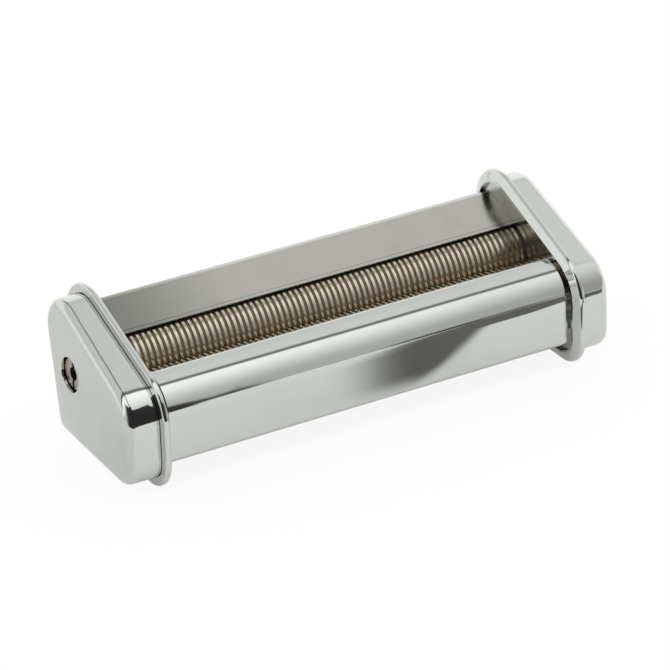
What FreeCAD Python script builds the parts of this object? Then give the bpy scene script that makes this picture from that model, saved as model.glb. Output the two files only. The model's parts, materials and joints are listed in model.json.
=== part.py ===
"""Clip-on pasta cutter head: two grooved cutter rollers between side plates, in a folded
chrome housing with drawn end caps.

Everything is drawn around the drive axle. X runs along the rollers with the crank at -X,
Y points to the back and Z up. Sections lie in the YZ plane. A wall of a section is given by
the angle of its outward normal, anticlockwise from +Y, and its distance from the drive axle.
The finished pieces are moved so that the part stands on Z = 0, centred on X and Y.
Sizes are in millimetres and angles in degrees.
"""
import FreeCAD, Part
import math
import os

# Cutter rollers
ridge_count = 74
ridge_pitch = 2.0
ridge_width = 0.9
roller_radius = 9.5
groove_depth = 1.5
collar_width = 3.4       # plain end of a roller, past its grooves
collar_clearance = 0.3   # between the two rollers' collars
ridge_mesh = 1.0         # how deep each roller's ridges reach into the other's grooves
axle_slope = 20.0        # the driven axle lies in front of the drive axle and lower
axle_radius = 5.0

# Journals, bushes and clips
journal_radius = 3.5
running_clearance = 0.05
bush_wall = 2.0
bush_flange = 0.4
bush_flange_step = 1.3
flange_play = 0.1
bush_stand_out = 0.2
clip_thickness = 0.6
clip_groove_depth = 0.7
clip_height = 1.8
clip_mouth = 3.2
clip_play = 0.1
journal_end = 0.4

# Gears
gear_teeth = 18
gear_width = 2.4
gear_play = 0.2
pressure_angle = 20.0
tooth_backlash = 0.12
tip_clearance = 0.25     # in modules
drive_flat = 0.6         # depth of the flat that keys a gear to its axle

# Crank socket
socket_radius = 2.1
socket_length = 5.2
socket_slot_width = 1.2
socket_slot_depth = 2.2
socket_setback = 0.4     # axle end behind the inside of the cap's face
crank_hole_radius = 5.6
crank_notch_width = 2.2
crank_notch_depth = 0.5
crank_notch_angle = -20.0

# Housing section: normal angle of each wall, room between it and the rollers, and corner radii
base_angle = -90.0
back_angle = -13.3
top_angle = 111.3
front_angle = 176.3
base_room = 6.84
back_room = 4.5
top_room = 8.34
front_room = 11.42
base_back_radius = 5.0
back_top_radius = 10.2
top_front_radius = 13.2
front_base_radius = 7.4

# End caps
sheet = 0.8
mouth_overlap = 5.5      # a cap's rim reaches this far past the inside of its side plate
cap_room = 5.5           # side plate to cap face, on the drive axle
face_taper = 2.5         # the caps are deeper at the front
face_edge_radius = 3.1
rim_stand = 2.9
rim_width = 3.2
rim_cone_height = 3.2    # the mouth side of the rim slopes back from its inner edge
rim_cone_depth = 1.4
rim_bend_radius = 1.0
rim_lip_radius = 0.8
rim_web = 1.8
rim_groove = 0.3

# Side plates and tie rods
plate_thickness = 1.8
rod_radius = 2.0
rod_thread_radius = 1.5
rod_hole_clearance = 0.1
rod_clearance = 2.2      # rods to the ridges of the roller beside them
rear_rod_angle = 40.0
front_rod_angle = 175.0
lower_rod_back = 2.4
lower_rod_rise = 3.9
nut_flats = 5.5
nut_height = 2.4
rod_end = 0.4

# Covers
front_end_gap = 6.6      # ends of the covers to the side plates, bridged by tabs
rear_end_gap = 4.2
cover_inset = 1.9
strip_slope = 12.0
strip_rise = 3.5         # strip over the rollers' ridges
strip_setback = 4.28     # free edge of the strip in front of the driven axle, along the slope
strip_hem = 3.0
strip_bend_radius = 11.0
hem_bend_radius = 1.8
front_foot_rise = 4.9    # feet of the covers over the housing's base
foot_hem = 4.0
rear_inset = 1.0
rear_foot_rise = 7.5
rear_foot_hem = 3.0
hopper_slope = 20.5
hopper_clearance = 0.4
hopper_lip = 2.3         # lower edge of the hopper, up the slope from its closest point to the axle
top_fold_radius = 4.2
tab_width = 6.0
tab_clearance = 0.15
front_tab_place = 11.0   # down each wall, from its closest point to the drive axle
back_tab_place = 8.0
hopper_tab_place = 8.0   # up the slope

# Combs that lift the cut strips out of the grooves
comb_angle = 45.0        # past the nip
comb_thickness = 0.8
comb_clearance = 0.4
comb_tip = 1.5
comb_bar = 5.6
comb_tooth_play = 0.2
comb_end_play = 0.2
comb_tab_inset = 1.2

axle_distance = 2 * roller_radius - ridge_mesh
working_width = ridge_count * ridge_pitch
end_play = bush_flange + flange_play
grooves_end = working_width / 2
roller_end = grooves_end + collar_width
groove_radius = roller_radius - groove_depth
collar_radius = (axle_distance - collar_clearance) / 2
plate_inner = roller_end + end_play
plate_outer = plate_inner + plate_thickness
mouth = plate_inner - mouth_overlap
face_at_axle = plate_outer + cap_room
bush_end = plate_outer + bush_stand_out
gear_inner = bush_end + gear_play
gear_outer = gear_inner + gear_width
crank_end = face_at_axle - sheet - socket_setback


def polar(angle, distance=1.0):
    """Point of the section plane at this angle and distance from the drive axle."""
    turn = math.radians(angle)
    return FreeCAD.Vector(0, distance * math.cos(turn), distance * math.sin(turn))


drive_axle = FreeCAD.Vector(0, 0, 0)
driven_axle = polar(180 + axle_slope, axle_distance)


def roller_reach(angle):
    """How far the rollers' ridges reach from the drive axle in this direction."""
    return max(axle.dot(polar(angle)) for axle in (drive_axle, driven_axle)) + roller_radius


def meet(wall, other):
    """Point where two walls of a section cross."""
    n, m = polar(wall[0]), polar(other[0])
    cross = n.y * m.z - n.z * m.y
    across, up = wall[1] * m.z - other[1] * n.z, n.y * other[1] - m.y * wall[1]
    return FreeCAD.Vector(0, across / cross, up / cross)


def moved(wall, outward):
    return (wall[0], wall[1] + outward)


def on_wall(wall, along):
    """Point of a wall, this far along it from its closest point to the drive axle."""
    return polar(wall[0], wall[1]) + polar(wall[0] + 90, along)


def bend(wall, other, radius):
    """Arc that rounds the corner between two walls."""
    centre = meet(moved(wall, -radius), moved(other, -radius))
    middle = polar((wall[0] + other[0]) / 2, radius)
    return Part.Arc(centre + polar(wall[0], radius), centre + middle, centre + polar(other[0], radius))


def chain(arcs, start=None, end=None):
    """Edges along a row of arcs, with straight runs between them."""
    points = [start] if start else []
    edges = []
    for arc in arcs:
        if points:
            edges.append(Part.LineSegment(points[-1], arc.StartPoint).toShape())
        edges.append(arc.toShape())
        points.append(arc.EndPoint)
    if end:
        edges.append(Part.LineSegment(points[-1], end).toShape())
    return edges


def along_x(face, low, high):
    """Solid that a section face at X = 0 sweeps from low to high."""
    face = face.copy()
    face.translate(FreeCAD.Vector(low, 0, 0))
    return face.extrude(FreeCAD.Vector(high - low, 0, 0))


def housing(grow):
    """Face of the housing section with every wall moved outwards."""
    base_again = (base_wall[0] + 360, base_wall[1])
    walls = [moved(w, grow) for w in (base_wall, back_wall, top_wall, front_wall, base_again)]
    radii = [base_back_radius, back_top_radius, top_front_radius, front_base_radius]
    arcs = [bend(walls[i], walls[i + 1], radii[i] + grow) for i in range(4)]
    edges = chain(arcs)
    edges.append(Part.LineSegment(arcs[-1].EndPoint, arcs[0].StartPoint).toShape())
    return Part.Face(Part.Wire(edges))


def outline(grow, x):
    """Outline of the housing section at this X."""
    wire = housing(grow).OuterWire
    wire.translate(FreeCAD.Vector(x, 0, 0))
    return wire


def slab(grow, low, high):
    return along_x(housing(grow), low, high)


def sheet_face(walls, radii, start, end):
    """Section of a folded sheet: its outside follows the walls, from start to end along the end walls."""
    outside = [bend(walls[i], walls[i + 1], radii[i]) for i in range(len(radii))]
    inner = [moved(w, -sheet) for w in walls]
    inside = [bend(inner[i], inner[i + 1], radii[i] - sheet) for i in range(len(radii))]
    first = [on_wall(walls[0], start), on_wall(inner[0], start)]
    last = [on_wall(walls[-1], end), on_wall(inner[-1], end)]
    edges = chain(outside, first[0], last[0]) + chain(inside, first[1], last[1])
    edges += [Part.LineSegment(*first).toShape(), Part.LineSegment(*last).toShape()]
    return Part.Face(Part.Wire(Part.__sortEdges__(edges)))


def wall_block(wall, along, half_width, thickness, low, high, grow=0.0):
    """Block in a wall's thickness, centred this far along it; grow makes it larger all round."""
    corners = []
    for step, depth in ((-1, 0), (1, 0), (1, -1), (-1, -1)):
        outward = grow if depth == 0 else -thickness - grow
        corners.append(on_wall(moved(wall, outward), along + step * (half_width + grow)))
    face = Part.Face(Part.makePolygon(corners + corners[:1]))
    return along_x(face, low, high)


def cylinder(axle, radius, low, high):
    centre = axle + FreeCAD.Vector(low, 0, 0)
    return Part.makeCylinder(radius, high - low, centre, FreeCAD.Vector(1, 0, 0))


def mirrored(shape):
    return shape.mirror(FreeCAD.Vector(0, 0, 0), FreeCAD.Vector(1, 0, 0))


def at_both_ends(shape):
    return [shape, mirrored(shape)]


def end_edges(shape):
    """Edges round the face that lies furthest along X."""
    return max(shape.Faces, key=lambda face: face.CenterOfMass.x).Edges


def edges_at(shape, x):
    """Edges that lie in the section plane at this X."""
    return [edge for edge in shape.Edges if max(abs(end.X - x) for end in edge.Vertexes) < 1e-6]


# Housing and cover walls
base_wall = (base_angle, roller_reach(base_angle) + base_room)
back_wall = (back_angle, roller_reach(back_angle) + back_room)
top_wall = (top_angle, roller_reach(top_angle) + top_room)
front_wall = (front_angle, roller_reach(front_angle) + front_room)
strip_wall = (90.0 + strip_slope, roller_reach(90.0 + strip_slope) + strip_rise)
strip_hem_wall = (strip_slope, driven_axle.dot(polar(strip_slope)) - strip_setback)
front_cover_wall = moved(front_wall, -cover_inset)
front_foot_wall = (270.0, base_wall[1] - front_foot_rise)
rear_cover_wall = moved(back_wall, -rear_inset)
rear_foot_wall = (-90.0, base_wall[1] - rear_foot_rise)
hopper_wall = (90.0 + hopper_slope, roller_radius + hopper_clearance + sheet)
cover_tabs = {
    "front_cover": [(front_cover_wall, front_tab_place)],
    "rear_cover": [(rear_cover_wall, -back_tab_place), (hopper_wall, -hopper_tab_place)],
}

# Tie rod places
rod_places = {
    "rear_tie_rod": polar(rear_rod_angle, roller_radius + rod_radius + rod_clearance),
    "front_tie_rod": driven_axle + polar(front_rod_angle, roller_radius + rod_radius + rod_clearance),
    "lower_tie_rod": FreeCAD.Vector(0, lower_rod_back, lower_rod_rise - base_wall[1]),
}


def end_cap():
    """Drawn cup with a tapered face and a rolled rim round its mouth, at the +X end."""

    def cup(grow, setback, radius):
        far = face_at_axle + front_wall[1]
        solid = slab(grow, mouth, far)
        waste = Part.makeBox(far, 4 * far, 4 * far, FreeCAD.Vector(0, -2 * far, -2 * far))
        waste.rotate(FreeCAD.Vector(0, 0, 0), FreeCAD.Vector(0, 0, 1), face_taper)
        waste.translate(FreeCAD.Vector(face_at_axle - setback, 0, 0))
        solid = solid.cut(waste)
        return solid.makeFillet(radius, end_edges(solid))

    cone_end = mouth + rim_cone_depth
    rim_end = mouth + rim_width
    cone = Part.makeLoft([outline(rim_stand - rim_cone_height, mouth), outline(rim_stand, cone_end)], True, True)
    rim = slab(rim_stand, cone_end, rim_end).fuse(cone).removeSplitter()
    rim = rim.makeFillet(rim_bend_radius, edges_at(rim, cone_end))
    rim = rim.makeFillet(rim_lip_radius, edges_at(rim, rim_end))
    groove = slab(rim_groove, mouth + rim_web, rim_end)
    shell = cup(0, 0, face_edge_radius).fuse(rim.cut(groove))
    return shell.cut(cup(-sheet, sheet, face_edge_radius - sheet)).removeSplitter()


def crank_hole():
    """Round crank hole with a small notch towards the back, at the +X end."""
    hole = cylinder(drive_axle, crank_hole_radius, plate_outer, face_at_axle + crank_hole_radius)
    reach = crank_hole_radius + crank_notch_depth
    corner = FreeCAD.Vector(plate_outer, 0, -crank_notch_width / 2)
    notch = Part.makeBox(cap_room + reach, reach, crank_notch_width, corner)
    notch.rotate(drive_axle, FreeCAD.Vector(1, 0, 0), crank_notch_angle)
    return hole.fuse(notch)


def cutter_roller(axle, phase):
    """Grooved sleeve with plain collars, turned from steps; phase sets its ridges in the other's grooves."""
    steps = [(-roller_end, collar_radius), (-grooves_end, groove_radius)]
    for i in range(ridge_count):
        start = -grooves_end + i * ridge_pitch + phase
        steps += [(start, roller_radius), (start + ridge_width, groove_radius)]
    steps += [(grooves_end, collar_radius), (roller_end, axle_radius)]
    corners = [FreeCAD.Vector(-roller_end, 0, axle_radius)]
    for (low, radius), (high, next_radius) in zip(steps, steps[1:]):
        if high - low > 1e-6:
            corners += [FreeCAD.Vector(low, 0, radius), FreeCAD.Vector(high, 0, radius)]
    corners.append(FreeCAD.Vector(roller_end, 0, axle_radius))
    face = Part.Face(Part.makePolygon(corners + corners[:1]))
    sleeve = face.revolve(FreeCAD.Vector(0, 0, 0), FreeCAD.Vector(1, 0, 0), 360)
    sleeve.translate(axle)
    return sleeve


def axle_clip(axle, radius, low):
    """Open retaining ring in a groove of an axle."""
    inner = radius - clip_groove_depth
    ring = cylinder(axle, inner + clip_height, low, low + clip_thickness)
    ring = ring.cut(cylinder(axle, inner, low, low + clip_thickness))
    corner = axle + FreeCAD.Vector(low, 0, -clip_mouth / 2)
    return ring.cut(Part.makeBox(clip_thickness, inner + clip_height, clip_mouth, corner))


def clip_groove(axle, radius, low):
    ring = cylinder(axle, radius, low, low + clip_thickness)
    return ring.cut(cylinder(axle, radius - clip_groove_depth, low, low + clip_thickness))


def gear_flat(axle):
    """What the keying flat takes off a journal, under the gear."""
    corner = axle + FreeCAD.Vector(gear_inner, -journal_radius, journal_radius - drive_flat)
    return Part.makeBox(gear_width, 2 * journal_radius, drive_flat, corner)


def gear_end(axle):
    """Journal at the geared end: flat for the gear, then a groove for the clip."""
    low = gear_outer
    solid = cylinder(axle, journal_radius, roller_end, low + clip_thickness + journal_end)
    return solid.cut(gear_flat(axle)).cut(clip_groove(axle, journal_radius, low))


def drive_axle_piece():
    """Drive axle; its crank end is a slotted socket."""
    clip_low = bush_end + clip_play
    crank = cylinder(drive_axle, axle_radius, roller_end, crank_end)
    crank = crank.cut(cylinder(drive_axle, socket_radius, crank_end - socket_length, crank_end))
    corner = FreeCAD.Vector(crank_end - socket_slot_depth, -socket_slot_width / 2, -axle_radius)
    crank = crank.cut(Part.makeBox(socket_slot_depth, socket_slot_width, 2 * axle_radius, corner))
    crank = crank.cut(clip_groove(drive_axle, axle_radius, clip_low))
    bar = cylinder(drive_axle, axle_radius, -roller_end, roller_end)
    return bar.fuse([mirrored(crank), gear_end(drive_axle)]).removeSplitter()


def driven_axle_piece():
    clip_low = bush_end + clip_play
    plain = cylinder(driven_axle, journal_radius, roller_end, clip_low + clip_thickness + journal_end)
    plain = plain.cut(clip_groove(driven_axle, journal_radius, clip_low))
    bar = cylinder(driven_axle, axle_radius, -roller_end, roller_end)
    return bar.fuse([mirrored(plain), gear_end(driven_axle)]).removeSplitter()


def bush(axle, radius):
    """Flanged bearing bush, pressed into the side plate from inside, at the +X end."""
    outer = radius + bush_wall
    solid = cylinder(axle, outer, plate_inner, bush_end)
    solid = solid.fuse(cylinder(axle, outer + bush_flange_step, plate_inner - bush_flange, plate_inner))
    hole = cylinder(axle, radius + running_clearance, plate_inner - bush_flange, bush_end)
    return solid.cut(hole).removeSplitter()


def gear(axle, first_tooth):
    """Spur gear with involute flanks; first_tooth is the angle of one tooth's middle."""
    module = axle_distance / gear_teeth
    pitch_radius = axle_distance / 2
    base_radius = pitch_radius * math.cos(math.radians(pressure_angle))
    tip_radius = pitch_radius + module
    root_radius = pitch_radius - (1 + tip_clearance) * module
    half_pitch_angle = (math.pi * module / 2 - tooth_backlash) / (2 * pitch_radius)

    def involute(radius):
        roll = math.acos(min(1.0, base_radius / radius))
        return math.tan(roll) - roll

    flank_steps = 5
    radii = [base_radius + (tip_radius - base_radius) * i / flank_steps for i in range(flank_steps + 1)]
    swing = half_pitch_angle + involute(pitch_radius)

    def point(radius, angle):
        return polar(math.degrees(angle), radius)

    edges = []
    tooth_angle = 2 * math.pi / gear_teeth
    for tooth in range(gear_teeth):
        middle = math.radians(first_tooth) + tooth * tooth_angle
        left = [point(r, middle - swing + involute(r)) for r in radii]
        right = [point(r, middle + swing - involute(r)) for r in radii]
        foot, next_foot = middle + swing, middle + tooth_angle - swing
        edges.append(Part.LineSegment(point(root_radius, middle - swing), left[0]).toShape())
        for side, reverse in ((left, False), (right, True)):
            curve = Part.BSplineCurve()
            curve.interpolate(side[::-1] if reverse else side)
            if reverse:
                edges.append(Part.Arc(left[-1], point(tip_radius, middle), right[-1]).toShape())
            edges.append(curve.toShape())
        edges.append(Part.LineSegment(right[0], point(root_radius, foot)).toShape())
        bottom = point(root_radius, (foot + next_foot) / 2)
        edges.append(Part.Arc(point(root_radius, foot), bottom, point(root_radius, next_foot)).toShape())
    face = Part.Face(Part.Wire(edges))
    solid = along_x(face, gear_inner, gear_outer)
    solid.translate(axle)
    seat = cylinder(axle, journal_radius, gear_inner, gear_outer).cut(gear_flat(axle))
    return solid.cut(seat)


def comb(axle, nip_angle, turn, phase):
    """Flat comb under a roller: its teeth reach into the grooves just past the nip, away from it by turn."""
    normal = polar(nip_angle + turn * comb_angle)
    away = polar(nip_angle + turn * (comb_angle + 90))
    face_at = groove_radius + comb_clearance
    root = math.sqrt((roller_radius + comb_clearance) ** 2 - face_at ** 2)
    length = plate_inner - comb_end_play
    bar_end = root + comb_bar

    def point(x, along):
        return axle + normal * face_at + away * along + FreeCAD.Vector(x, 0, 0)

    corners = [point(-length, bar_end), point(-length, bar_end - comb_tab_inset)]
    corners += [point(-plate_outer, bar_end - comb_tab_inset), point(-plate_outer, root + comb_tab_inset)]
    corners += [point(-length, root + comb_tab_inset), point(-length, root)]
    for i in range(ridge_count - 1):
        groove = -grooves_end + i * ridge_pitch + phase + ridge_width
        low, high = groove + comb_tooth_play, groove + ridge_pitch - ridge_width - comb_tooth_play
        corners += [point(low, root), point(low, -comb_tip), point(high, -comb_tip), point(high, root)]
    corners += [point(length, root), point(length, root + comb_tab_inset)]
    corners += [point(plate_outer, root + comb_tab_inset), point(plate_outer, bar_end - comb_tab_inset)]
    corners += [point(length, bar_end - comb_tab_inset), point(length, bar_end)]
    return Part.Face(Part.makePolygon(corners + corners[:1])).extrude(normal * comb_thickness)


def comb_slot(axle, nip_angle, turn):
    """Slot for a comb's end tab, at the +X end."""
    face_at = groove_radius + comb_clearance
    root = math.sqrt((roller_radius + comb_clearance) ** 2 - face_at ** 2)
    middle = root + comb_bar / 2
    half = comb_bar / 2 - comb_tab_inset
    wall = (nip_angle + turn * comb_angle, face_at + comb_thickness)
    block = wall_block(wall, turn * middle, half, comb_thickness, plate_inner, plate_outer, tab_clearance)
    block.translate(axle)
    return block


combs = {
    "rear_comb": (drive_axle, 180.0 + axle_slope, 1, 0.0),
    "front_comb": (driven_axle, axle_slope, -1, ridge_pitch / 2),
}


def cover(name, walls, radii, start, end, end_gap):
    """Folded cover between the side plates, with tabs that pass through them."""
    cover_end = plate_inner - end_gap
    solid = along_x(sheet_face(walls, radii, start, end), -cover_end, cover_end)
    for wall, place in cover_tabs[name]:
        tab = wall_block(wall, place, tab_width / 2, sheet, cover_end, plate_outer)
        solid = solid.fuse(at_both_ends(tab))
    return solid.removeSplitter()


def front_cover():
    """Strip over the driven roller, front and foot, with hems turned in at both edges."""
    walls = [strip_hem_wall, strip_wall, front_cover_wall, front_foot_wall]
    start = meet(strip_hem_wall, strip_wall).dot(polar(strip_hem_wall[0] + 90)) - strip_hem
    end = meet(front_cover_wall, front_foot_wall).dot(polar(front_foot_wall[0] + 90)) + foot_hem
    radii = [hem_bend_radius, strip_bend_radius, hem_bend_radius]
    return cover("front_cover", walls, radii, start, end, front_end_gap)


def rear_cover():
    """Back, rounded top fold and hopper plate in one sheet."""
    walls = [rear_foot_wall, rear_cover_wall, hopper_wall]
    start = meet(rear_foot_wall, rear_cover_wall).dot(polar(rear_foot_wall[0] + 90)) - rear_foot_hem
    return cover("rear_cover", walls, [hem_bend_radius, top_fold_radius], start, -hopper_lip, rear_end_gap)


def side_plate(drive_bush_radius):
    """Plate that fills a cap's section and carries the bushes, rods, combs and covers, at the +X end."""
    plate = slab(-sheet, plate_inner, plate_outer)
    holes = [cylinder(drive_axle, drive_bush_radius + bush_wall, plate_inner, plate_outer)]
    holes.append(cylinder(driven_axle, journal_radius + bush_wall, plate_inner, plate_outer))
    for place in rod_places.values():
        holes.append(cylinder(place, rod_thread_radius + rod_hole_clearance, plate_inner, plate_outer))
    for axle, nip_angle, turn, phase in combs.values():
        holes.append(comb_slot(axle, nip_angle, turn))
    for tabs in cover_tabs.values():
        for wall, place in tabs:
            slot = wall_block(wall, place, tab_width / 2, sheet, plate_inner, plate_outer, tab_clearance)
            holes.append(slot)
    return plate.cut(holes)


def tie_rod(place):
    rod = cylinder(place, rod_radius, -plate_inner, plate_inner)
    end = plate_outer + nut_height + rod_end
    return rod.fuse(cylinder(place, rod_thread_radius, -end, end)).removeSplitter()


def nut(place):
    """Hexagon nut outside the +X side plate."""
    corner = nut_flats / math.sqrt(3)
    points = [place + polar(60 * i, corner) + FreeCAD.Vector(plate_outer, 0, 0) for i in range(7)]
    solid = Part.Face(Part.makePolygon(points)).extrude(FreeCAD.Vector(nut_height, 0, 0))
    return solid.cut(cylinder(place, rod_thread_radius, plate_outer, plate_outer + nut_height))


nuts = []
for place in rod_places.values():
    nuts += at_both_ends(nut(place))

pieces = {
    "left_end_cap": mirrored(end_cap().cut(crank_hole())),
    "right_end_cap": end_cap(),
    "left_side_plate": mirrored(side_plate(axle_radius)),
    "right_side_plate": side_plate(journal_radius),
    "front_cover": front_cover(),
    "rear_cover": rear_cover(),
    "drive_roller": cutter_roller(drive_axle, 0.0),
    "driven_roller": cutter_roller(driven_axle, ridge_pitch / 2),
    "drive_axle": drive_axle_piece(),
    "driven_axle": driven_axle_piece(),
    "drive_gear": gear(drive_axle, 180.0 + axle_slope),
    "driven_gear": gear(driven_axle, axle_slope + 180.0 / gear_teeth),
    "rear_left_bush": mirrored(bush(drive_axle, axle_radius)),
    "rear_right_bush": bush(drive_axle, journal_radius),
    "front_left_bush": mirrored(bush(driven_axle, journal_radius)),
    "front_right_bush": bush(driven_axle, journal_radius),
    "drive_clips": Part.makeCompound([
        mirrored(axle_clip(drive_axle, axle_radius, bush_end + clip_play)),
        axle_clip(drive_axle, journal_radius, gear_outer),
    ]),
    "driven_clips": Part.makeCompound([
        mirrored(axle_clip(driven_axle, journal_radius, bush_end + clip_play)),
        axle_clip(driven_axle, journal_radius, gear_outer),
    ]),
    "tie_rod_nuts": Part.makeCompound(nuts),
}
for name, (axle, nip_angle, turn, phase) in combs.items():
    pieces[name] = comb(axle, nip_angle, turn, phase)
for name, place in rod_places.items():
    pieces[name] = tie_rod(place)

# The rims are the outermost section, so they set the middle of Y and the base
outermost = housing(rim_stand).BoundBox
to_row = FreeCAD.Vector(0, -(outermost.YMin + outermost.YMax) / 2, -outermost.ZMin)
os.makedirs("parts", exist_ok=True)
for name, shape in pieces.items():
    shape.translate(to_row)
    shape.exportStep(f"parts/{name}.step")
    print(name, len(shape.Solids), "solids, valid", shape.isValid(), "volume", round(shape.Volume, 1))
print("drive axle", to_row, "driven axle", to_row + driven_axle, "crank end", -crank_end)
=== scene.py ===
"""Looks of the clip-on pasta cutter head: chromed housing, satin hopper, turned rollers, studio, camera."""
import json
import math

import bmesh
import bpy
from mathutils import Matrix, Vector
from mathutils.geometry import delaunay_2d_cdt


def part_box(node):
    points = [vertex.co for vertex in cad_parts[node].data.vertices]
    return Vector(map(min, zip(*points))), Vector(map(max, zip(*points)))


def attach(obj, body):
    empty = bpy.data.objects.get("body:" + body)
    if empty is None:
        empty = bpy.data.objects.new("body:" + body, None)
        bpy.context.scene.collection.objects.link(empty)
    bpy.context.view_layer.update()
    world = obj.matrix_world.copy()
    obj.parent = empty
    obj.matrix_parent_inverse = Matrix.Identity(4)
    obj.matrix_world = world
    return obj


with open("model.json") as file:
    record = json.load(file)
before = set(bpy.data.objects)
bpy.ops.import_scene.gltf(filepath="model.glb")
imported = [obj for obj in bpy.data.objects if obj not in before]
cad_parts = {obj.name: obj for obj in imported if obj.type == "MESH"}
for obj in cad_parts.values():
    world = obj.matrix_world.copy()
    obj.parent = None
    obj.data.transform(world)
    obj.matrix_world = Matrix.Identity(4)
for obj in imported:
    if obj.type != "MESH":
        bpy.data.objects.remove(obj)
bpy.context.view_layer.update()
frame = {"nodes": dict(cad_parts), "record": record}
scene = bpy.context.scene


# Node helpers

FLOAT, COLOUR = "NodeSocketFloat", "NodeSocketColor"
FIRST_COLOUR, SECOND_COLOUR, MIXED_COLOUR = 6, 7, 2     # colour sockets of a Mix node


def add_node(tree, kind, **settings):
    """Adds a shader node; settings are attributes of the node."""
    made = tree.nodes.new(kind)
    for name, value in settings.items():
        setattr(made, name, value)
    return made


def feed(tree, socket, source):
    """Links a socket, or sets a plain value on it."""
    if isinstance(source, bpy.types.NodeSocket):
        tree.links.new(source, socket)
    else:
        socket.default_value = source


def math_node(tree, operation, *values):
    made = add_node(tree, "ShaderNodeMath", operation=operation)
    for socket, value in zip(made.inputs, values):
        feed(tree, socket, value)
    return made.outputs[0]


def times(tree, *factors):
    product = factors[0]
    for factor in factors[1:]:
        product = math_node(tree, "MULTIPLY", product, factor)
    return product


def fade(tree, value, start, end, low=0.0, high=1.0):
    """Smooth step from low at start to high at end."""
    made = add_node(tree, "ShaderNodeMapRange", interpolation_type="SMOOTHSTEP")
    settings = {"Value": value, "From Min": start, "From Max": end, "To Min": low, "To Max": high}
    for name, setting in settings.items():
        feed(tree, made.inputs[name], setting)
    return made.outputs["Result"]


def split(tree, vector):
    """The x, y and z of a vector."""
    made = add_node(tree, "ShaderNodeSeparateXYZ")
    tree.links.new(vector, made.inputs[0])
    return made.outputs


def object_place(tree):
    return add_node(tree, "ShaderNodeTexCoord").outputs["Object"]


def noise(tree, place, scale, detail=2.0, roughness=0.5):
    made = add_node(tree, "ShaderNodeTexNoise")
    settings = {"Vector": place, "Scale": scale, "Detail": detail, "Roughness": roughness}
    for name, setting in settings.items():
        feed(tree, made.inputs[name], setting)
    return made.outputs["Fac"]


def mix_colours(tree, share, first, second):
    made = add_node(tree, "ShaderNodeMix", data_type="RGBA")
    feed(tree, made.inputs["Factor"], share)
    feed(tree, made.inputs[FIRST_COLOUR], first)
    feed(tree, made.inputs[SECOND_COLOUR], second)
    return made.outputs[MIXED_COLOUR]


def new_group(name, inputs, outputs):
    """Empty shader node group with float or colour sockets."""
    group = bpy.data.node_groups.new(name, "ShaderNodeTree")
    for label, kind, value in inputs:
        socket = group.interface.new_socket(label, in_out="INPUT", socket_type=kind)
        socket.default_value = value
    for label, kind in outputs:
        group.interface.new_socket(label, in_out="OUTPUT", socket_type=kind)
    return group, group.nodes.new("NodeGroupInput").outputs, group.nodes.new("NodeGroupOutput").inputs


def place_group(tree, group, **values):
    made = add_node(tree, "ShaderNodeGroup", node_tree=group)
    for name, value in values.items():
        feed(tree, made.inputs[name.replace("_", " ").capitalize()], value)
    return made.outputs


# Shared effects

SMEAR_EDGE = (0.48, 0.72)       # noise levels where a smear starts and is full
GRAIN_EDGE = (0.3, 0.7)
DENT_EDGE = (0.001, 0.006)      # metres into a cup where dents start and are full


def make_handling_group():
    """Faint smears and dulled patches left by wiping: a patchy colour and roughness."""
    group, given, out = new_group(
        "wiped_metal",
        [("Clean colour", COLOUR, (0.8, 0.8, 0.8, 1)), ("Smeared colour", COLOUR, (0.7, 0.7, 0.7, 1)),
         ("Clean roughness", FLOAT, 0.05), ("Smeared roughness", FLOAT, 0.12),
         ("Patch scale", FLOAT, 40.0)],
        [("Colour", COLOUR), ("Roughness", FLOAT)])
    patches = noise(group, object_place(group), given["Patch scale"], detail=4.0)
    smear = fade(group, patches, *SMEAR_EDGE)
    colour = mix_colours(group, smear, given["Clean colour"], given["Smeared colour"])
    rough = fade(group, smear, 0.0, 1.0, given["Clean roughness"], given["Smeared roughness"])
    group.links.new(colour, out["Colour"])
    group.links.new(rough, out["Roughness"])
    return group


def make_drawn_sheet_group():
    """Bump height in metres: waves of pressed sheet, and draft and dents of the drawn cups at both ends."""
    group, given, out = new_group(
        "drawn_sheet",
        [("Wave scale", FLOAT, 18.0), ("Wave depth", FLOAT, 0.0002), ("Dent scale", FLOAT, 70.0),
         ("Dent depth", FLOAT, 0.0003), ("Cup start", FLOAT, 0.07), ("Cup draft", FLOAT, 0.05)],
        [("Height", FLOAT)])
    place = object_place(group)
    waves, dents = [
        times(group, noise(group, place, given[kind + " scale"], detail=1.0), given[kind + " depth"])
        for kind in ("Wave", "Dent")]
    from_middle = math_node(group, "ABSOLUTE", split(group, place)["X"])
    past_start = math_node(group, "SUBTRACT", from_middle, given["Cup start"])
    into_cup = math_node(group, "MAXIMUM", past_start, 0.0)
    cup_dents = times(group, dents, fade(group, into_cup, *DENT_EDGE))
    drop = times(group, into_cup, given["Cup draft"])
    sheet = math_node(group, "ADD", waves, cup_dents)
    group.links.new(math_node(group, "SUBTRACT", sheet, drop), out["Height"])
    return group


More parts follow.
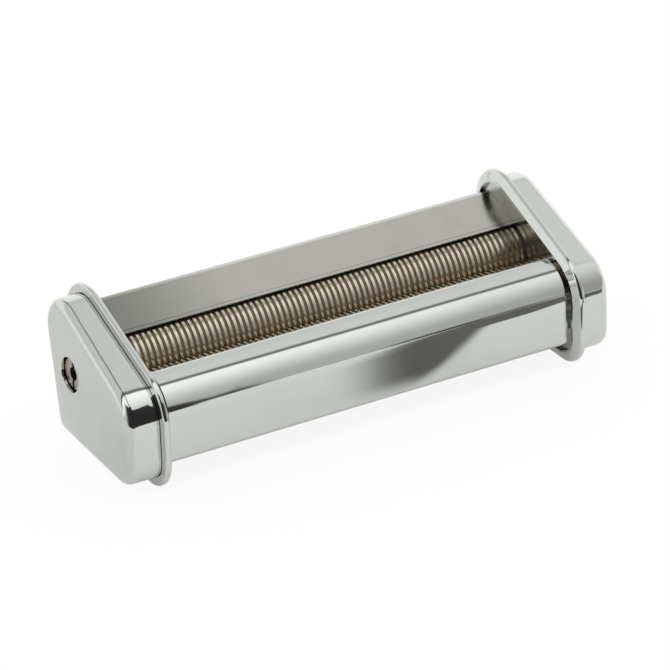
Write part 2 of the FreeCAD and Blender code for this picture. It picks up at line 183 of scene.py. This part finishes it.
def make_brushed_group():
    """Fine grain drawn out along one direction, as a mask and a bump height."""
    group, given, out = new_group(
        "brushed_grain",
        [("Along x", FLOAT, 30.0), ("Along y", FLOAT, 2500.0), ("Along z", FLOAT, 2500.0)],
        [("Mask", FLOAT), ("Height", FLOAT)])
    scale = add_node(group, "ShaderNodeCombineXYZ")
    for axis in "XYZ":
        group.links.new(given["Along " + axis.lower()], scale.inputs[axis])
    stretched = add_node(group, "ShaderNodeVectorMath", operation="MULTIPLY")
    group.links.new(object_place(group), stretched.inputs[0])
    group.links.new(scale.outputs[0], stretched.inputs[1])
    grain = noise(group, stretched.outputs[0], scale=1.0, detail=3.0, roughness=0.6)
    group.links.new(fade(group, grain, *GRAIN_EDGE), out["Mask"])
    group.links.new(grain, out["Height"])
    return group


wiped_metal = make_handling_group()
drawn_sheet = make_drawn_sheet_group()
brushed_grain = make_brushed_group()


# Finishes

LENGTHWISE = (25.0, 1800.0, 1800.0)     # scale of the grain along x, y and z
TURNED = (2600.0, 60.0, 60.0)
EVEN = (900.0, 900.0, 900.0)

HEIGHT_IN_METRES = 1.0
CUP_DRAFT = math.tan(math.radians(5))
SMEAR_ROUGHER = 1.3
GRAIN_SHARE = 0.35          # how far the grain takes on the worn colour
# Painted shade: how far the colour at the hopper's left end is darkened, standing in for a darker reflection
# there
PAINTED_SHADE_FACTOR = 0.48
HOPPER_PAINTED_SHADE_END = (-0.018, -0.075)      # along x, where the painted shade on the hopper's left end starts and where it is full

GROOVE_FLOOR = 0.0080       # distances from a roller's axle
RIDGE_TOP = 0.0092
RIDGE_COLOUR = (0.65, 0.59, 0.485, 1)
WORN_RIDGE_COLOUR = (0.51, 0.45, 0.36, 1)
GROOVE_COLOUR = (0.68, 0.585, 0.46, 1)
RIDGE_GRAIN_SHARE = 0.4
GROOVE_TO_RIDGE_ROUGHNESS = (0.45, 0.24)
GROOVE_TO_RIDGE_METAL = (0.15, 1.0)
ROLLER_GRAIN_DEPTH = 0.000006


def new_metal(name):
    """Material with a metal shader; returns it with its tree and shader."""
    material = bpy.data.materials.new(name)
    material.use_nodes = True
    tree = material.node_tree
    shader = tree.nodes["Principled BSDF"]
    shader.inputs["Metallic"].default_value = 1.0
    return material, tree, shader


def bump(tree, shader, height, depth):
    made = add_node(tree, "ShaderNodeBump")
    made.inputs["Distance"].default_value = depth
    feed(tree, made.inputs["Height"], height)
    tree.links.new(made.outputs["Normal"], shader.inputs["Normal"])


def grain_along(tree, grain):
    return place_group(tree, brushed_grain, along_x=grain[0], along_y=grain[1], along_z=grain[2])


def bright_chrome():
    material, tree, shader = new_metal("bright_chrome")
    wiped = place_group(
        tree, wiped_metal, clean_colour=(0.63, 0.645, 0.62, 1), smeared_colour=(0.605, 0.62, 0.60, 1),
        clean_roughness=0.05, smeared_roughness=0.08, patch_scale=45.0)
    tree.links.new(wiped["Colour"], shader.inputs["Base Color"])
    tree.links.new(wiped["Roughness"], shader.inputs["Roughness"])
    sheet = place_group(
        tree, drawn_sheet, wave_scale=22.0, wave_depth=0.00025, dent_scale=75.0, dent_depth=0.0004,
        cup_start=0.072, cup_draft=CUP_DRAFT)
    bump(tree, shader, sheet["Height"], HEIGHT_IN_METRES)
    return material


def brushed_metal(name, clean, worn, roughness, grain, depth, painted_shade_end=None):
    """Metal with a drawn-out grain of this depth; the last argument, where given, is where along x a painted
    shade starts and is full, darkening the colour towards that end.
    """
    material, tree, shader = new_metal(name)
    brushed = grain_along(tree, grain)
    wiped = place_group(
        tree, wiped_metal, clean_colour=clean, smeared_colour=worn,
        clean_roughness=roughness, smeared_roughness=roughness * SMEAR_ROUGHER, patch_scale=60.0)
    colour = mix_colours(tree, times(tree, brushed["Mask"], GRAIN_SHARE), wiped["Colour"], worn)
    # Painted shade: the colour is darkened towards the given end along x
    if painted_shade_end:
        painted_shade_colour = [channel * PAINTED_SHADE_FACTOR for channel in clean[:3]] + [1]
        along = split(tree, object_place(tree))["X"]
        colour = mix_colours(tree, fade(tree, along, *painted_shade_end), colour, painted_shade_colour)
    tree.links.new(colour, shader.inputs["Base Color"])
    tree.links.new(wiped["Roughness"], shader.inputs["Roughness"])
    bump(tree, shader, brushed["Height"], depth)
    return material


def distance_from_axles(tree):
    """Distance from the nearer of the rollers' axles, which the record gives in the part's frame."""
    place = split(tree, object_place(tree))
    distances = []
    for joint in frame["record"]["behaviour"]["joints"]:
        across = math_node(tree, "SUBTRACT", place["Y"], joint["pos_m"][1])
        up = math_node(tree, "SUBTRACT", place["Z"], joint["pos_m"][2])
        squares = [math_node(tree, "POWER", offset, 2.0) for offset in (across, up)]
        distances.append(math_node(tree, "SQRT", math_node(tree, "ADD", *squares)))
    return math_node(tree, "MINIMUM", *distances)


def turned_roller():
    """Warm plated ridges over dull groove floors."""
    material, tree, shader = new_metal("turned_roller")
    brushed = grain_along(tree, TURNED)
    ridge = fade(tree, distance_from_axles(tree), GROOVE_FLOOR, RIDGE_TOP)
    worn = times(tree, brushed["Mask"], RIDGE_GRAIN_SHARE)
    plated = mix_colours(tree, worn, RIDGE_COLOUR, WORN_RIDGE_COLOUR)
    tree.links.new(mix_colours(tree, ridge, GROOVE_COLOUR, plated), shader.inputs["Base Color"])
    tree.links.new(fade(tree, ridge, 0.0, 1.0, *GROOVE_TO_RIDGE_ROUGHNESS), shader.inputs["Roughness"])
    tree.links.new(fade(tree, ridge, 0.0, 1.0, *GROOVE_TO_RIDGE_METAL), shader.inputs["Metallic"])
    bump(tree, shader, brushed["Height"], ROLLER_GRAIN_DEPTH)
    return material


finishes = {
    "bright_chrome": bright_chrome(),
    # The hopper's satin chrome carries a painted shade towards its left end
    "satin_chrome": brushed_metal(
        "satin_chrome", clean=(0.50, 0.49, 0.46, 1), worn=(0.475, 0.46, 0.43, 1),
        roughness=0.18, grain=LENGTHWISE, depth=0.00001, painted_shade_end=HOPPER_PAINTED_SHADE_END),
    "polished_plate": brushed_metal(
        "polished_plate", clean=(0.53, 0.53, 0.50, 1), worn=(0.46, 0.46, 0.43, 1),
        roughness=0.2, grain=EVEN, depth=0.000004),
    "turned_roller": turned_roller(),
    "axle_steel": brushed_metal(
        "axle_steel", clean=(0.40, 0.355, 0.30, 1), worn=(0.27, 0.235, 0.195, 1),
        roughness=0.28, grain=TURNED, depth=0.000006),
    "gear_steel": brushed_metal(
        "gear_steel", clean=(0.46, 0.46, 0.45, 1), worn=(0.32, 0.31, 0.30, 1),
        roughness=0.32, grain=EVEN, depth=0.000008),
    "bush_bronze": brushed_metal(
        "bush_bronze", clean=(0.62, 0.43, 0.22, 1), worn=(0.45, 0.30, 0.15, 1),
        roughness=0.34, grain=TURNED, depth=0.000008),
    "spring_steel": brushed_metal(
        "spring_steel", clean=(0.20, 0.20, 0.21, 1), worn=(0.12, 0.12, 0.13, 1),
        roughness=0.35, grain=EVEN, depth=0.000006),
    "zinc_steel": brushed_metal(
        "zinc_steel", clean=(0.60, 0.61, 0.62, 1), worn=(0.47, 0.48, 0.48, 1),
        roughness=0.30, grain=EVEN, depth=0.000008),
    "comb_steel": brushed_metal(
        "comb_steel", clean=(0.52, 0.52, 0.50, 1), worn=(0.40, 0.40, 0.38, 1),
        roughness=0.28, grain=LENGTHWISE, depth=0.000006),
}

for part in frame["record"]["subparts"]:
    mesh = frame["nodes"][part["node"]].data
    mesh.materials.clear()
    mesh.materials.append(finishes[part["material_slot"]])


# End linings: thin polished sheets round the rollers' ends, which close the ends of the feed opening

SMOOTH_ANGLE = math.radians(30)
LINING_PLACE = 0.07375      # face towards the grooves, from the middle
LINING_THICKNESS = 0.0005
ROLLER_OPENING = 0.0097     # radius round each axle that leaves the rollers' ridges free
OPENING_STEPS = 90
FACE_TOLERANCE = 1e-6
POINT_DIGITS = 6
FACES_WITHOUT_HOLES = 5     # what the triangulation gives back
MERGE_DISTANCE = 1e-7


def add_piece(name, shape, finish):
    """Turns a bmesh into a piece that rides on the part's frame."""
    mesh = bpy.data.meshes.new(name)
    shape.to_mesh(mesh)
    shape.free()
    mesh.polygons.foreach_set("use_smooth", [True] * len(mesh.polygons))
    mesh.set_sharp_from_angle(angle=SMOOTH_ANGLE)
    mesh.materials.append(finishes[finish])
    piece = bpy.data.objects.new(name, mesh)
    scene.collection.objects.link(piece)
    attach(piece, "frame")


def open_sides(mesh, face_x):
    """Sides of a flat face at face_x that only one of its polygons has, as pairs of (y, z) points."""
    sides = set()
    for polygon in mesh.polygons:
        corners = [mesh.vertices[index].co for index in polygon.vertices]
        if max(abs(corner.x - face_x) for corner in corners) < FACE_TOLERANCE:
            points = [(round(corner.y, POINT_DIGITS), round(corner.z, POINT_DIGITS)) for corner in corners]
            for side in zip(points, points[1:] + points[:1]):
                if side[::-1] in sides:
                    sides.remove(side[::-1])
                else:
                    sides.add(side)
    return sides


def plate_outline(node):
    """Outermost loop round a plate's face towards the rollers, as (y, z) points in order."""
    face_x = min((corner.x for corner in map(Vector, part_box(node))), key=abs)
    following = dict(open_sides(frame["nodes"][node].data, face_x))
    loops = []
    while following:
        start, point = following.popitem()
        loop = [start]
        while point != start:
            loop.append(point)
            point = following.pop(point)
        loops.append(loop)
    return max(loops, key=lambda loop: max(loop)[0] - min(loop)[0])


def roller_opening():
    """Opening round both rollers, two arcs that run into each other."""
    first, second = [Vector(joint["pos_m"][1:]) for joint in frame["record"]["behaviour"]["joints"]]
    between = second - first
    half = math.acos(between.length / 2 / ROLLER_OPENING)
    points = []
    for axle, towards in ((first, between), (second, -between)):
        start = math.atan2(towards.y, towards.x) + half
        for step in range(OPENING_STEPS):
            turn = start + (2 * math.pi - 2 * half) * step / OPENING_STEPS
            points.append(axle + ROLLER_OPENING * Vector((math.cos(turn), math.sin(turn))))
    return points


def add_lining(name, plate, side):
    """Sheet in the shape of a side plate, on the side of the middle that side gives as -1 or 1."""
    points, edges = [], []
    for loop in (plate_outline(plate), roller_opening()):
        first = len(points)
        points += [Vector(point) for point in loop]
        edges += [(first + i, first + (i + 1) % len(loop)) for i in range(len(loop))]
    spots, _, faces = delaunay_2d_cdt(points, edges, [], FACES_WITHOUT_HOLES, MERGE_DISTANCE)[:3]
    sheet = bmesh.new()
    corners = [sheet.verts.new((side * LINING_PLACE, spot.x, spot.y)) for spot in spots]
    for face in faces:
        sheet.faces.new([corners[index] for index in face])
    bmesh.ops.recalc_face_normals(sheet, faces=sheet.faces)
    pushed = bmesh.ops.extrude_face_region(sheet, geom=sheet.faces[:])["geom"]
    moved = [item for item in pushed if isinstance(item, bmesh.types.BMVert)]
    bmesh.ops.translate(sheet, verts=moved, vec=(side * LINING_THICKNESS, 0, 0))
    bmesh.ops.recalc_face_normals(sheet, faces=sheet.faces)
    add_piece(name, sheet, "polished_plate")


# Edge lips: the hopper's thin lower lip, and the rolled free edge of the strip in front of the rollers

LIP_INSET = 0.0001          # hopper's lip under the faces of its sheet
LIP_REACH = 0.0012
SHEET_THICKNESS = 0.0008
HOPPER_SLOPE = math.radians(20.5)
STRIP_SLOPE = math.radians(12.0)
STRIP_BEND_CENTRE = Vector((-0.014866, 0.031382))
STRIP_BEND_RADIUS = 0.0018
STRIP_BEND_DROP = 0.0012    # straight run after the bend
STRIP_LIP = 0.0010
ARC_STEPS = 12


def slope_axes(slope):
    """Up the slope to the back, and out of it, as (y, z)."""
    return Vector((math.cos(slope), math.sin(slope))), Vector((-math.sin(slope), math.cos(slope)))


def arc(centre, radius, start, turn):
    angles = [start + turn * step / ARC_STEPS for step in range(ARC_STEPS + 1)]
    return [centre + radius * Vector((math.cos(angle), math.sin(angle))) for angle in angles]


def hopper_lip_profile():
    """Round-nosed lip that goes on from the hopper's lower edge."""
    cover = frame["nodes"]["rear_cover"].data
    edge = min((vertex.co for vertex in cover.vertices), key=lambda place: place.y)
    up, out = slope_axes(HOPPER_SLOPE)
    corner = Vector((edge.y, edge.z))
    radius = SHEET_THICKNESS / 2 - LIP_INSET
    nose = corner - out * SHEET_THICKNESS / 2 - up * (LIP_REACH - radius)
    rounded = arc(nose, radius, HOPPER_SLOPE + math.pi / 2, math.pi)
    return [corner - out * LIP_INSET] + rounded + [corner - out * (SHEET_THICKNESS - LIP_INSET)]


def strip_lip_profile():
    """The strip's own rolled edge, carried further up its slope."""
    up, out = slope_axes(STRIP_SLOPE)
    edge = arc(STRIP_BEND_CENTRE, STRIP_BEND_RADIUS, STRIP_SLOPE + math.pi / 2, -math.pi / 2)
    edge.append(edge[-1] - out * STRIP_BEND_DROP)
    return [point + up * STRIP_LIP for point in edge] + edge[::-1]


def add_lip(name, profile, cover, finish):
    """A profile drawn out along the whole length of a cover."""
    low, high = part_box(cover)
    lip = bmesh.new()
    ends = [[lip.verts.new((x, *point)) for point in profile] for x in (low[0], high[0])]
    for end in ends:
        lip.faces.new(end)
    for i in range(len(profile)):
        following = (i + 1) % len(profile)
        lip.faces.new((ends[0][i], ends[0][following], ends[1][following], ends[1][i]))
    bmesh.ops.recalc_face_normals(lip, faces=lip.faces)
    add_piece(name, lip, finish)


add_lining("left_end_lining", "left_side_plate", -1)
add_lining("right_end_lining", "right_side_plate", 1)
add_lip("hopper_lip", hopper_lip_profile(), "rear_cover", "satin_chrome")
add_lip("strip_lip", strip_lip_profile(), "front_cover", "bright_chrome")


# Surrounding: bright panels with dark gaps between them, which the chrome shows

# A fade is where it starts and ends, and the values there, which are 0 and 1 where they aren't given.
# Angles are in degrees. Turn goes round the X axis from the back over the top to the front, aside goes from
# the front to the right, and height is over the horizon. X and z are parts of a direction of length 1.
LOW_BACK_LIGHT = (36.0, 50.0, 1.2, 0.85)        # by turn
HIGH_BACK_LIGHT = (58.0, 70.0, 1.0, 1.06)       # by turn
BACK_LIGHT_ACROSS = (0.25, 0.40, 0.90, 1.0)     # by x
FRONT_PANEL = (98.0, 165.0, 1.28, 0.58)         # by turn
FRONT_PANEL_ACROSS = (0.40, 0.58, 1.13, 0.78)   # by x
BACK_TO_FRONT = (92.0, 98.0)                    # by turn
GAP_BACK_EDGE = (82.0, 90.0)                    # by turn
GAP_FRONT_EDGE = (99.0, 92.0)                   # by turn
GAP_ACROSS = (0.62, 0.52, 0.1, 1.0)             # by x
GAP_DARKNESS = 0.75
SEAM_EDGE = (0.16, 0.05)                        # by x to either side
SEAM_FOOT = (0.35, 0.6)                         # by z
SEAM_DARKNESS = 0.6
ROOM_RISES = (                                  # height of the dark room in degrees, by aside, added up
    (27.2, 28.6, -4.0, 6.0),
    (26.8, 25.7, 0.0, 40.0),
    (25.0, 17.0, 0.0, 18.0),
)
ROOM_RIGHT_EDGE = (31.5, 28.8)                  # by aside
ROOM_LEFT_EDGE = (-75.0, -45.0)                 # by aside
ROOM_TOP_EDGE = (0.0, 4.0)                      # by height under the room's top
ROOM_DARKNESS = 0.95
SURROUND_TINT = (0.985, 1.0, 0.975, 1)
WHITE = (1, 1, 1, 1)


def darkened(tree, light, mask, darkness):
    return times(tree, light, math_node(tree, "SUBTRACT", 1.0, times(tree, mask, darkness)))


def surround_light(tree):
    """Strength of the light from every direction."""
    x, y, z = split(tree, add_node(tree, "ShaderNodeTexCoord").outputs["Generated"])
    forward = math_node(tree, "MULTIPLY", y, -1.0)
    turn = math_node(tree, "DEGREES", math_node(tree, "ARCTAN2", z, y))
    aside = math_node(tree, "DEGREES", math_node(tree, "ARCTAN2", x, forward))
    height = math_node(tree, "DEGREES", math_node(tree, "ARCSINE", z))
    # Behind the part the light is brightest low down, and weaker to the left
    behind = times(
        tree, fade(tree, turn, *LOW_BACK_LIGHT), fade(tree, turn, *HIGH_BACK_LIGHT),
        fade(tree, x, *BACK_LIGHT_ACROSS))
    # Over the front a white panel falls off towards the horizon and to the right
    glow = times(tree, fade(tree, turn, *FRONT_PANEL), fade(tree, x, *FRONT_PANEL_ACROSS))
    over = fade(tree, turn, *BACK_TO_FRONT, behind, glow)
    # Overhead a dark gap runs between the two, and a dark seam crosses it
    gap = times(
        tree, fade(tree, turn, *GAP_BACK_EDGE), fade(tree, turn, *GAP_FRONT_EDGE), fade(tree, x, *GAP_ACROSS))
    seam = times(
        tree, fade(tree, math_node(tree, "ABSOLUTE", x), *SEAM_EDGE), fade(tree, z, *SEAM_FOOT))
    lit = darkened(tree, darkened(tree, over, gap, GAP_DARKNESS), seam, SEAM_DARKNESS)
    # The unlit room behind the camera is low over the front right, and tall towards the front left
    right_rise, middle_rise, left_rise = [fade(tree, aside, *rise) for rise in ROOM_RISES]
    room_top = math_node(tree, "ADD", right_rise, math_node(tree, "ADD", middle_rise, left_rise))
    under_top = math_node(tree, "SUBTRACT", room_top, height)
    room = times(tree, fade(tree, aside, *ROOM_RIGHT_EDGE), fade(tree, aside, *ROOM_LEFT_EDGE))
    dark = times(tree, room, fade(tree, under_top, *ROOM_TOP_EDGE))
    return darkened(tree, lit, dark, ROOM_DARKNESS)


def studio_surround():
    """World that the camera sees white, and the chrome as panels."""
    world = bpy.data.worlds.new("studio")
    world.use_nodes = True
    scene.world = world
    tree = world.node_tree
    tree.nodes.clear()
    surround = add_node(tree, "ShaderNodeBackground")
    tree.links.new(surround_light(tree), surround.inputs["Strength"])
    surround.inputs["Color"].default_value = SURROUND_TINT
    white = add_node(tree, "ShaderNodeBackground")
    white.inputs["Color"].default_value = WHITE
    shown = add_node(tree, "ShaderNodeMixShader")
    tree.links.new(add_node(tree, "ShaderNodeLightPath").outputs["Is Camera Ray"], shown.inputs[0])
    tree.links.new(surround.outputs[0], shown.inputs[1])
    tree.links.new(white.outputs[0], shown.inputs[2])
    tree.links.new(shown.outputs[0], add_node(tree, "ShaderNodeOutputWorld").inputs["Surface"])


# Floor: pale, in metres from the part's middle

FLOOR_SIZE = 3.0
FLOOR_HEIGHT = -0.0003
FLOOR_GRAIN_SCALE = 3.0
SEEN_FLOOR = ((0.13, 0.13, 0.13, 1), (0.15, 0.15, 0.15, 1))
SEEN_FLOOR_GLOW = 0.90
MIRRORED_FLOOR = ((0.96, 0.96, 0.96, 1), (0.98, 0.98, 0.98, 1))
MIRRORED_FLOOR_GLOW = (-0.105, -0.085, 0.12, 0.24)      # by x
UNLIT_FLOOR = (0.05, 0.05, 0.05, 1)
FRONT_LIGHT_END = (-0.45, -0.30)        # by y
LEFT_LIGHT_SLANT = 0.49                 # an edge with a slant is by x + slant * y
LEFT_LIGHT_END = (-0.079, -0.068)
WEDGE_LEFT_SLANT = 0.59
WEDGE_LEFT_EDGE = (-0.040, 0.006)
WEDGE_RIGHT_SLANT = 1.5
WEDGE_RIGHT_EDGE = (-0.034, -0.046)
WEDGE_NEAR_EDGE = (-0.040, -0.058)      # by y
LIGHT_IN_WEDGE = 0.14


def floor_light(tree, x, y):
    """How much of the front light reaches the floor: none far out to the front left, little in a wedge."""
    def across(slant):
        return math_node(tree, "ADD", x, math_node(tree, "MULTIPLY", y, slant))

    near = fade(tree, y, *FRONT_LIGHT_END)
    right_of_line = fade(tree, across(LEFT_LIGHT_SLANT), *LEFT_LIGHT_END)
    in_light = math_node(tree, "MAXIMUM", near, right_of_line)
    # The wedge lies before the part and widens away from it, soft on its left
    wedge = times(
        tree, fade(tree, across(WEDGE_LEFT_SLANT), *WEDGE_LEFT_EDGE),
        fade(tree, across(WEDGE_RIGHT_SLANT), *WEDGE_RIGHT_EDGE), fade(tree, y, *WEDGE_NEAR_EDGE))
    return times(tree, in_light, fade(tree, wedge, 0.0, 1.0, 1.0, LIGHT_IN_WEDGE))


def pale_floor():
    """Floor that the camera sees nearly white, with a faint shadow; unlit places are dark in the chrome."""
    bpy.ops.mesh.primitive_plane_add(size=FLOOR_SIZE, location=(0, 0, FLOOR_HEIGHT))
    floor = bpy.context.object
    floor.name = "floor"
    material = bpy.data.materials.new("pale_floor")
    material.use_nodes = True
    tree = material.node_tree
    shader = tree.nodes["Principled BSDF"]
    shader.inputs["Roughness"].default_value = 1.0
    shader.inputs["Specular IOR Level"].default_value = 0.0
    place = object_place(tree)
    x, y, _ = split(tree, place)
    grain = noise(tree, place, FLOOR_GRAIN_SCALE)
    seen = add_node(tree, "ShaderNodeLightPath").outputs["Is Camera Ray"]
    in_light = floor_light(tree, x, y)
    direct = mix_colours(tree, grain, *SEEN_FLOOR)
    mirrored = mix_colours(tree, in_light, UNLIT_FLOOR, mix_colours(tree, grain, *MIRRORED_FLOOR))
    tree.links.new(mix_colours(tree, seen, mirrored, direct), shader.inputs["Base Color"])
    shader.inputs["Emission Color"].default_value = WHITE
    glow = times(tree, in_light, fade(tree, x, *MIRRORED_FLOOR_GLOW))
    tree.links.new(fade(tree, seen, 0.0, 1.0, glow, SEEN_FLOOR_GLOW), shader.inputs["Emission Strength"])
    floor.data.materials.append(material)


# Camera: at the photograph's place, a long lens on the front left

CAMERA_ELEVATION = math.radians(28.0)
CAMERA_AZIMUTH = math.radians(31.74)
CAMERA_DISTANCE = 1.461
CAMERA_AIM = Vector((0.00602, 0.00638, 0.01552))
FOCAL_PIXELS = 4702.0
IMAGE_PIXELS = 670.0


def photo_camera():
    level = math.cos(CAMERA_ELEVATION)
    forward = Vector((
        math.sin(CAMERA_AZIMUTH) * level, math.cos(CAMERA_AZIMUTH) * level, -math.sin(CAMERA_ELEVATION)))
    right = Vector((math.cos(CAMERA_AZIMUTH), -math.sin(CAMERA_AZIMUTH), 0))
    up = right.cross(forward)
    data = bpy.data.cameras.new("camera")
    data.sensor_fit = "HORIZONTAL"
    data.lens = data.sensor_width * FOCAL_PIXELS / IMAGE_PIXELS
    camera = bpy.data.objects.new("camera", data)
    scene.collection.objects.link(camera)
    turned = Matrix((right, up, -forward)).transposed()
    camera.matrix_world = Matrix.Translation(CAMERA_AIM - forward * CAMERA_DISTANCE) @ turned.to_4x4()
    scene.camera = camera


studio_surround()
pale_floor()
photo_camera()
scene.view_settings.view_transform = "Standard"
